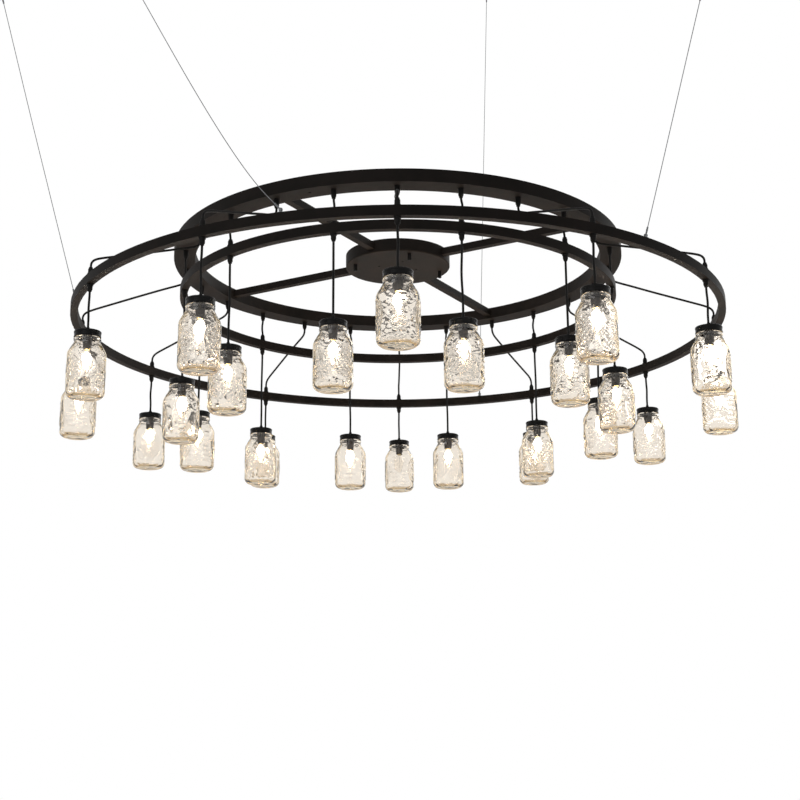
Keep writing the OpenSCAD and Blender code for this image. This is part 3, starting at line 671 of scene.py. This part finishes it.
# Every piece of a pendant is turned about its axis, with height 0 at the lid's
# top. R is a radius, L a length, H a height and T a thickness.
LID_R = 34.5 * MM
LID_H = 16 * MM
LID_T = 0.8 * MM
SOCKET_R = 12 * MM
SOCKET_L = 46 * MM
BULB_R = 16.5 * MM
BULB_L = 64 * MM
BULB_T = 0.6 * MM
CAP_R = 7 * MM
JAR_R = 48.9 * MM
MOUTH_R = 33 * MM
GLASS_T = 3 * MM
BASE_T = 5 * MM
BASE_R = 16 * MM
BEAD_H = 13 * MM
SHOULDER_R = 26 * MM
SHOULDER_A = 30                 # slope of the shoulder in degrees
JAR_SEGMENTS = 160
HEEL_R = 39 * MM                # ring of the base where the way through the glass is longest
HEEL_W = 4 * MM
HEEL_H = 11 * MM
GLOW_R = 12.5 * MM
GLOW_L = 44 * MM
GLOW_TOP = -SOCKET_L - 4 * MM
BURNT_R = 0.8 * MM
DARK_PENDANT = ("outer", 7)     # the photograph shows no light in the rearmost jar


def lid_outline():
    """Screw lid: a flat disc in a band with a raised rim, two thread rolls and a rolled lower edge."""
    roll, rim = 1.2 * MM, 3 * MM
    band = LID_R - roll
    thread_top, pitch, depth = -5.6 * MM, 3.5 * MM, 0.55 * MM
    z = np.linspace(thread_top - 2 * pitch, thread_top, 15)
    threads = band + depth * np.sin(np.pi * (z - thread_top) / pitch) ** 2
    return np.vstack([
        [(0, -LID_T), (band - LID_T, -LID_T), (band - LID_T, -LID_H + 2 * MM)],
        arc((band, -LID_H + roll), roll, -120, 60, 7),
        np.stack([threads, z], -1), [(LID_R - 0.4 * MM, -4.6 * MM)],
        arc((LID_R - rim, LID_T - rim), rim, 0, 90, 8),
        [(LID_R - 6.5 * MM, LID_T), (LID_R - 8 * MM, 0), (LID_R - 14 * MM, 0), (LID_R - 14.6 * MM, 0.5 * MM),
         (LID_R - 15.6 * MM, 0.5 * MM), (LID_R - 16.2 * MM, 0), (0, 0)]])


def relief_outline():
    """Strain relief on the lid: a round foot, then a cone that closes on the cord."""
    foot, soft = 7 * MM, 0.6 * MM
    return np.vstack([
        [(0, SEAT_GAP), (foot, SEAT_GAP)], arc((foot - soft, 2 * MM), soft, 0, 90, 3), [(5.8 * MM, 3.2 * MM)],
        smooth([(5.6 * MM, 3.6 * MM), (5.0 * MM, 7 * MM), (4.2 * MM, RELIEF_H - 1 * MM)], 4),
        arc((3.6 * MM, RELIEF_H - soft), soft, 0, 90, 3), [(0, RELIEF_H)]])


def socket_outline():
    """Lamp socket: its neck through the lid, a shouldered shell with two grooves, and an open mouth."""
    top = -LID_T - SEAT_GAP
    bore, deep = CAP_R + 0.4 * MM, -SOCKET_L + 20.6 * MM
    groove = 0.7 * MM
    return np.array([
        (0, deep), (bore, deep), (bore, -SOCKET_L), (SOCKET_R - 2 * MM, -SOCKET_L),
        (SOCKET_R - 1 * MM, -SOCKET_L + 1 * MM), (SOCKET_R - 1 * MM, -SOCKET_L + 9 * MM),
        (SOCKET_R, -SOCKET_L + 10 * MM), (SOCKET_R, -SOCKET_L + 22 * MM),
        (SOCKET_R - groove, -SOCKET_L + 22.6 * MM), (SOCKET_R - groove, -SOCKET_L + 24 * MM),
        (SOCKET_R, -SOCKET_L + 24.6 * MM), (SOCKET_R, top - 2 * MM), (SOCKET_R - 2 * MM, top),
        (5 * MM, top), (5 * MM, -SEAT_GAP), (0, -SEAT_GAP)])


def bulb_radius(t):
    """Radius of the bulb's glass at a share t of its length: it swells as a sine to its belly and closes as a
    cosine to its tip."""
    belly = 0.44
    swell = CAP_R + (BULB_R - CAP_R) * np.sin(np.pi / 2 * np.clip(t / belly, 0, 1)) ** 1.3
    close = BULB_R * np.clip(np.cos(np.pi / 2 * np.clip((t - belly) / (1 - belly), 0, 1)), 0, 1) ** 0.62
    return np.where(t < belly, swell, close)


def bulb_outline():
    """Hollow bulb glass: its outside from the tip up to the socket's mouth, and its inside back down."""
    t = 1 - np.linspace(0, 1, 33) ** 1.5
    outside = np.stack([bulb_radius(t[1:]), -SOCKET_L - BULB_L * t[1:]], -1)
    inside = np.stack([bulb_radius(t[1:]) - BULB_T, -SOCKET_L - BULB_T - (BULB_L - 2 * BULB_T) * t[1:]], -1)
    return np.vstack([[(0, -SOCKET_L - BULB_L)], outside, inside[::-1], [(0, -SOCKET_L - BULB_L + BULB_T)]])


def glow_outline(radius):
    """Spindle round the filament: its radius is a sine of its height, fuller towards the socket."""
    t = np.linspace(0, 1, 25)[1:-1]
    side = np.stack([radius * np.sin(np.pi * t ** 1.35) ** 0.7, GLOW_TOP - GLOW_L * (1 - t)], -1)
    return np.vstack([[(0, GLOW_TOP - GLOW_L)], side, [(0, GLOW_TOP)]])


def cap_outline():
    """Screw cap of the bulb: its collar at the socket's mouth, and its thread as rolled ridges above."""
    z = np.linspace(0.4, 16, 40) * MM
    core, collar = CAP_R - 0.5 * MM, CAP_R + 1 * MM
    ridges = core + 0.4 * MM * np.sin(2 * np.pi * z / (3.6 * MM))
    return np.vstack([
        [(0, -1.5 * MM), (collar, -1.5 * MM), (collar, -SEAT_GAP), (core, -SEAT_GAP)],
        np.stack([ridges, z], -1), [(4 * MM, 19 * MM), (0, 20 * MM)]]) - [0, SOCKET_L]


def jar_wall(inset, base_z):
    """Half section of the jar from its base up to the neck, drawn inwards by inset: rounded base, straight
    side, rounded shoulder and its slope."""
    body, turn, cut = JAR_R - inset, SHOULDER_R - inset, BASE_R - inset
    slope = math.radians(SHOULDER_A)
    neck_z = -LID_H - BEAD_H
    side_top = (neck_z - (body - turn * (1 - math.cos(slope)) - (MOUTH_R - inset)) / math.tan(slope)
                - turn * math.sin(slope))
    side = np.linspace(base_z + cut, side_top, 60 if inset == 0 else 20)[1:-1]
    return np.vstack([
        arc((body - cut, base_z + cut), cut, -90, 0, 14),
        np.stack([np.full(len(side), body), side], -1),
        arc((body - turn, side_top), turn, 0, SHOULDER_A, 8),
        [(MOUTH_R - inset, neck_z)]])


def jar_outline():
    """Whole section of the jar's glass, and the number of points on its outer side: from the pushed-up middle
    of the base up the outside to the mouth, over its rim and down the inside."""
    thread = LID_R - 2.2 * MM
    low = -JAR_H
    outer = np.vstack([
        [(0, low + 3 * MM)], smooth([(8 * MM, low + 2.9 * MM), (22 * MM, low + 1.6 * MM), (30 * MM, low)], 3),
        jar_wall(0, low),
        smooth([(MOUTH_R + 0.2 * MM, -27.6 * MM), (LID_R - 0.7 * MM, -26 * MM),
                (MOUTH_R + 0.4 * MM, -24.6 * MM), (LID_R, -22.2 * MM), (LID_R, -20.4 * MM),
                (MOUTH_R + 0.2 * MM, -17.6 * MM), (thread, -16.4 * MM)], 4),
        [(thread, -3 * MM)], arc((thread - 1.5 * MM, -2.5 * MM), 1.5 * MM, 0, 180, 8)])
    inner = np.vstack([
        [(thread - GLASS_T, -16 * MM), (MOUTH_R - GLASS_T, -20 * MM)],
        jar_wall(GLASS_T, low + BASE_T)[::-1],
        smooth([(26 * MM, low + BASE_T + 0.6 * MM), (14 * MM, low + BASE_T + 1.6 * MM)], 3)[1:],
        [(0, low + BASE_T + 2 * MM)]])
    return np.vstack([outer, inner]), len(outer)


OUTER_WAVE, INNER_WAVE = 0.16 * MM, 0.34 * MM
SIDE_LOW, LOW_FADE = 8 * MM, 14 * MM    # where the relief starts above the base
SIDE_TOP, TOP_FADE = -50 * MM, 12 * MM  # and where it ends below the lid's top
OVAL_Z = -106 * MM
OVAL_W, OVAL_H = 27 * MM, 37 * MM       # half its width and half its height
OVAL_LINE = 2 * MM
LATTICE_PITCH = 15 * MM
BAR_PITCH = 14 * MM
BAR_HALF, BAR_END = 7 * MM, 1.8 * MM
OVAL_RISE, LATTICE_RISE, BAR_RISE = 1.2 * MM, 1.1 * MM, 1.1 * MM
CREST = 8                       # even power of a cosine that draws narrow ridges


def jar_relief(angle, z, outside):
    """How far the glass stands out of its plain section, for grids of angle and height.

    Both walls wave by a sum of sines in angle and height. On the outside there are also two plain ovals that
    hold a diamond lattice, and two rows of short level bars between them. All fade out away from the side."""
    random = np.random.default_rng(5 if outside else 9)
    wave = np.zeros(np.broadcast(angle, z).shape)
    for turns in (2, 3, 5, 7, 9, 12):
        wave += np.sin(turns * angle + random.uniform(0, 6.3) + z * random.uniform(25, 130)) / turns**0.5
    wave *= OUTER_WAVE if outside else INNER_WAVE
    side = np.clip((z + JAR_H - SIDE_LOW) / LOW_FADE, 0, 1) * np.clip((SIDE_TOP - z) / TOP_FADE, 0, 1)
    if not outside:
        return wave * side
    across = JAR_R * (np.mod(angle, np.pi) - np.pi / 2)
    height = z - OVAL_Z
    away = np.hypot(across / OVAL_W, height / OVAL_H)
    oval = np.exp(-(((away - 1) * OVAL_W) / OVAL_LINE) ** 2)
    lattice = np.maximum(np.cos(np.pi * (across + height) / LATTICE_PITCH) ** CREST,
                         np.cos(np.pi * (across - height) / LATTICE_PITCH) ** CREST)
    inside = np.clip((0.92 - away) / 0.06, 0, 1)
    beside = JAR_R * (np.mod(angle + np.pi / 2, np.pi) - np.pi / 2)
    bars = np.exp(-(np.clip(np.abs(beside) - BAR_HALF, 0, None) / BAR_END) ** 2) \
        * np.cos(np.pi * height / BAR_PITCH) ** CREST
    return wave * side + side * (OVAL_RISE * oval + LATTICE_RISE * lattice * inside + BAR_RISE * bars)


def make_jar_shape():
    """Points and faces of one jar, on the axis with the lid's top at height 0, and two marks for each point.

    relief is how steep the relief is, 1 where the glass leans by 45 degrees, and the glass paints its shade
    darker by it. heel is how near the point is to the ring of the base where the way through the glass is
    longest, as a bell curve of the radius."""
    outline, count = jar_outline()
    angle = np.arange(JAR_SEGMENTS)[None, :] * 2 * np.pi / JAR_SEGMENTS
    z = outline[:, 1:]
    push = np.vstack([
        jar_relief(angle, z[:count], True), -jar_relief(angle, z[count:], False)])
    push = np.where(outline[:, :1] > 1e-9, push, 0)
    run = np.concatenate([[0], np.cumsum(np.linalg.norm(np.diff(outline, axis=0), axis=1))])
    around = (np.roll(push, -1, 1) - np.roll(push, 1, 1)) / (4 * np.pi * JAR_R / JAR_SEGMENTS)
    steep = np.hypot(around, np.gradient(push, run, axis=0))
    steep[count:] = 0
    points, quads, triangles = spin(outline, JAR_SEGMENTS, push)
    heel = np.exp(-((np.hypot(points[:, 0], points[:, 1]) - HEEL_R) / HEEL_W) ** 2)
    heel[points[:, 2] > HEEL_H - JAR_H] = 0
    heel[count * JAR_SEGMENTS:] = 0
    return points, quads, triangles, {"relief": np.concatenate([steep[1:-1].ravel(), [0, 0]]), "heel": heel}


def make_pendants():
    """Lid, strain relief, socket, bulb and jar of every pendant, each piece on the pendant's own body."""
    solids = {
        "lid": (spin(lid_outline(), 64), TINPLATE, "lamp_parts"),
        "strain_relief": (spin(relief_outline(), 32), NYLON, "lamp_parts"),
        "socket": (spin(socket_outline(), 40), PHENOLIC, "lamp_parts"),
        "bulb_cap": (spin(cap_outline(), 32), BRASS, "lamp_parts"),
    }
    bulb_points, bulb_quads, bulb_triangles = spin(bulb_outline(), 32)
    jar_points, jar_quads, jar_triangles, jar_marks = make_jar_shape()
    for pendant in pendants:
        row, number, body, lid = (pendant[k] for k in ("row", "number", "body", "lid"))
        lamp_node, jar_node = f"{row}_lamp_{number}", f"{row}_jar_{number}"
        for part, ((points, quads, triangles), material, slot) in solids.items():
            made = make_piece(f"{row}_{part}_{number}", points + lid, quads, triangles)
            dress(made, material, body, slot, lamp_node)
        bulb = make_piece(f"{row}_bulb_{number}", bulb_points + lid, bulb_quads, bulb_triangles)
        bulb.visible_shadow = False
        dress(bulb, BLOWN, body, "lamp_parts", lamp_node)
        burnt_out = (row, number) == DARK_PENDANT
        glow_points, glow_quads, glow_triangles = spin(glow_outline(BURNT_R if burnt_out else GLOW_R), 24)
        share = (glow_points[:, 2] - GLOW_TOP + GLOW_L) / GLOW_L
        glow = make_piece(f"{row}_filament_{number}", glow_points + lid, glow_quads, glow_triangles,
                          uv=np.stack([np.zeros(len(share)), share], -1))
        dress(glow, PLATED if burnt_out else GLOW, body, "lamp_parts", lamp_node)
        face = np.random.default_rng(number + (20 if row == "outer" else 40)).uniform(0, 2 * math.pi)
        jar = make_piece(f"{row}_glass_jar_{number}", turned(jar_points, face) + lid, jar_quads,
                         jar_triangles, marks=jar_marks)
        jar.visible_shadow = False
        dress(jar, GLASS, body, "jar_glass", jar_node)


make_pendants()


# -------------------------------------------------- floor, light and world

FLOOR_Z = -2.75
FLOOR_R = 24


def seen_directly(tree):
    """1 for what the camera sees, also in a reflection or through glass, and 0 for light on things."""
    path = add(tree, "ShaderNodeLightPath")
    glossy = add(tree, "ShaderNodeMath", {0: path.outputs["Is Camera Ray"], 1: path.outputs["Is Glossy Ray"]},
                 operation="MAXIMUM")
    return add(tree, "ShaderNodeMath", {0: glossy.outputs[0], 1: path.outputs["Is Transmission Ray"]},
               operation="MAXIMUM").outputs[0]


def make_floor():
    """Plain white round floor, which keeps the object's shadow: points at (r cos a, r sin a)."""
    angle = np.linspace(0, 2 * np.pi, 96, endpoint=False)
    rim = np.stack([FLOOR_R * np.cos(angle), FLOOR_R * np.sin(angle), np.full_like(angle, FLOOR_Z)], -1)
    floor = make_piece("floor", rim, [], polygons=[np.arange(len(rim))])
    material, tree, output = start_material("white_floor")
    matt = add(tree, "ShaderNodeBsdfDiffuse", {"Color": linear("#ececec")})
    white = add(tree, "ShaderNodeEmission", {"Color": (1, 1, 1, 1), "Strength": 1.0})
    share = add(tree, "ShaderNodeMath", {0: seen_directly(tree), 1: 0.75}, operation="MULTIPLY")
    mix = add(tree, "ShaderNodeMixShader", {
        0: share.outputs[0], 1: matt.outputs["BSDF"], 2: white.outputs["Emission"]})
    tree.links.new(mix.outputs["Shader"], output.inputs["Surface"])
    floor.data.materials.append(material)


def make_world():
    """White background, and a plain grey light from all round. Gloss and glass see it dimmer towards the
    zenith and the nadir, as a studio whose ceiling and floor are darker than its walls."""
    world = bpy.data.worlds.new("white_studio")
    bpy.context.scene.world = world
    world.use_nodes = True
    tree = world.node_tree
    tree.nodes.clear()
    height = add(tree, "ShaderNodeSeparateXYZ", {
        "Vector": add(tree, "ShaderNodeTexCoord").outputs["Generated"]}).outputs["Z"]
    steep = add(tree, "ShaderNodeMath", {0: height}, operation="ABSOLUTE")
    sweep_light = add(tree, "ShaderNodeMapRange", {
        "Value": steep.outputs[0], "From Min": 0.4, "From Max": 0.7, "To Min": 1.0, "To Max": 0.45},
        interpolation_type="SMOOTHSTEP")
    camera = add(tree, "ShaderNodeLightPath").outputs["Is Camera Ray"]
    shown = add(tree, "ShaderNodeMath", {0: sweep_light.outputs["Result"], 1: camera}, operation="MAXIMUM")
    strength = add(tree, "ShaderNodeMapRange", {
        "Value": seen_directly(tree), "To Min": 0.3, "To Max": shown.outputs[0]})
    background = add(tree, "ShaderNodeBackground", {
        "Color": (1, 1, 1, 1), "Strength": strength.outputs["Result"]})
    output = add(tree, "ShaderNodeOutputWorld")
    tree.links.new(background.outputs["Background"], output.inputs["Surface"])


def make_lamp(name, place, target, size, power, colour, mirrored=True):
    """A square area lamp that faces its target. Mirrored ones show in gloss and through glass."""
    data = bpy.data.lights.new(name, "AREA")
    data.size, data.energy, data.color = size, power, linear(colour)[:3]
    lamp = bpy.data.objects.new(name, data)
    lamp.visible_camera = False
    lamp.visible_glossy = lamp.visible_transmission = mirrored
    away = Vector(place) - Vector(target)
    lamp.matrix_world = Matrix.Translation(place) @ away.to_track_quat("Z", "Y").to_matrix().to_4x4()
    bpy.context.scene.collection.objects.link(lamp)


make_floor()
make_world()
make_lamp("front_softbox", (-1.8, -3.2, 1.6), (0, 0, -0.3), 2.2, 28, "#ffffff")
make_lamp("rear_softbox", (2.2, 2.8, 1.4), (0, 0, -0.3), 2.2, 22, "#ffffff")
make_lamp("bulb_light", (0, 0, -2.6), (0, 0, 0), 2.4, 105, "#ffe6c8", mirrored=False)

scene = bpy.context.scene
scene.view_settings.view_transform = "Standard"
